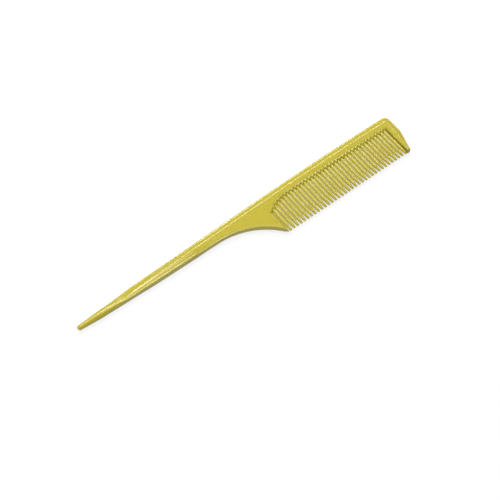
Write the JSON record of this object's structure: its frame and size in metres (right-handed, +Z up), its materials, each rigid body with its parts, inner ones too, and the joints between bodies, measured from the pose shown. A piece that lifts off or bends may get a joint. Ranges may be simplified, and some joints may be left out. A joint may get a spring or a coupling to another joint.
{
  "type": "rat tail comb",
  "caption": "Slim one-piece styling comb: fine straight teeth under a bevelled spine between a heel and an end guard, with a flat grip that runs out into a round-pointed parting tail.",
  "frame": {"origin": "middle of the bounding box at its base, where the back of the grip rests", "axes": "+X from the tail to the head, +Y from the tooth tips to the back of the spine, +Z up through the thickness"},
  "size_m": [0.218, 0.0278, 0.0048],
  "materials": {
    "gold_plastic": "opaque pale gold, satin gloss as moulded, one colour right through"
  },
  "bodies": {
    "root": {"tail_tip": "gold_plastic", "tail": "gold_plastic", "grip": "gold_plastic", "shoulder": "gold_plastic", "heel_guard": "gold_plastic", "spine": "gold_plastic", "head_corner": "gold_plastic", "end_guard": "gold_plastic", "tooth_01": "gold_plastic", "tooth_02": "gold_plastic", "tooth_03": "gold_plastic", "tooth_04": "gold_plastic", "tooth_05": "gold_plastic", "tooth_06": "gold_plastic", "tooth_07": "gold_plastic", "tooth_08": "gold_plastic", "tooth_09": "gold_plastic", "tooth_10": "gold_plastic", "tooth_11": "gold_plastic", "tooth_12": "gold_plastic", "tooth_13": "gold_plastic", "tooth_14": "gold_plastic", "tooth_15": "gold_plastic", "tooth_16": "gold_plastic", "tooth_17": "gold_plastic", "tooth_18": "gold_plastic", "tooth_19": "gold_plastic", "tooth_20": "gold_plastic", "tooth_21": "gold_plastic", "tooth_22": "gold_plastic", "tooth_23": "gold_plastic", "tooth_24": "gold_plastic", "tooth_25": "gold_plastic", "tooth_26": "gold_plastic", "tooth_27": "gold_plastic", "tooth_28": "gold_plastic", "tooth_29": "gold_plastic", "tooth_30": "gold_plastic", "tooth_31": "gold_plastic", "tooth_32": "gold_plastic", "tooth_33": "gold_plastic", "tooth_34": "gold_plastic", "tooth_35": "gold_plastic"}
  },
  "joints": []
}
